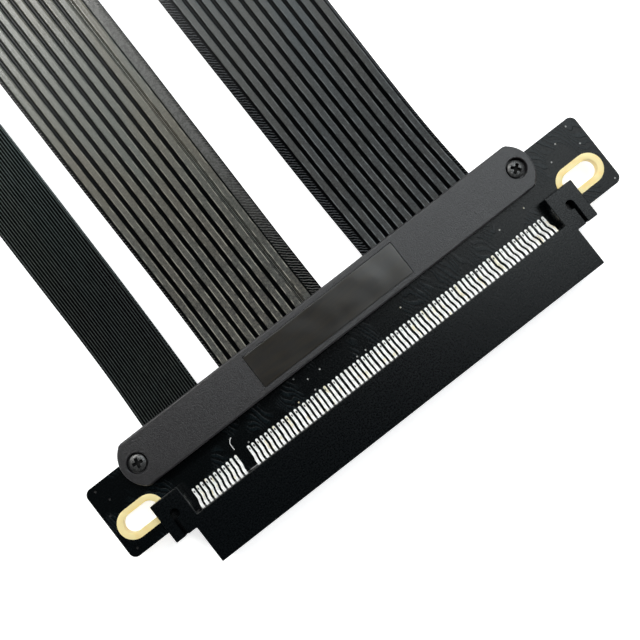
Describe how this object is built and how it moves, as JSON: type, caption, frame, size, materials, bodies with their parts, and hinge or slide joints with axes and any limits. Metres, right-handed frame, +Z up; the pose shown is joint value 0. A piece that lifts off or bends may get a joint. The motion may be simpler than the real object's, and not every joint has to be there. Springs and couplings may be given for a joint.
{
  "type": "gpu riser cable",
  "caption": "Flexible riser cable: a sixteen-lane card-edge slot on a narrow board, flat black ribbon cables, and a plug board with a card-edge tongue.",
  "frame": {"origin": "middle of the slot end's outline, on the surface that the riser lies on", "axes": "+X along the slot, away from its key; +Y from the slot's mouth towards the plug; +Z up"},
  "size_m": [0.116, 0.2567, 0.009],
  "materials": {
    "board": "black solder mask on glass-filled board, satin",
    "housing": "black moulded connector plastic with tinned contacts",
    "gold_plating": "gold plating over copper",
    "cover": "dark grey moulded plastic with a fine spark texture",
    "screw": "black oxide steel",
    "label": "glossy black film, blank",
    "cable_jacket": "black film jacket over flat wires, semi-gloss"
  },
  "bodies": {
    "root": {"slot_board": "board", "slot_housing": "housing", "slot_plating_left": "gold_plating", "slot_plating_right": "gold_plating", "slot_cover_top": "cover", "slot_cover_bottom": "cover", "slot_cover_screw_left": "screw", "slot_cover_screw_right": "screw", "label_plate": "label", "plug_board": "board", "plug_cover_top": "cover", "plug_cover_bottom": "cover", "plug_cover_screw_left": "screw", "plug_cover_screw_right": "screw", "cable_narrow": "cable_jacket", "cable_middle_upper": "cable_jacket", "cable_middle_lower": "cable_jacket", "cable_right_upper": "cable_jacket", "cable_right_lower": "cable_jacket"}
  },
  "joints": []
}
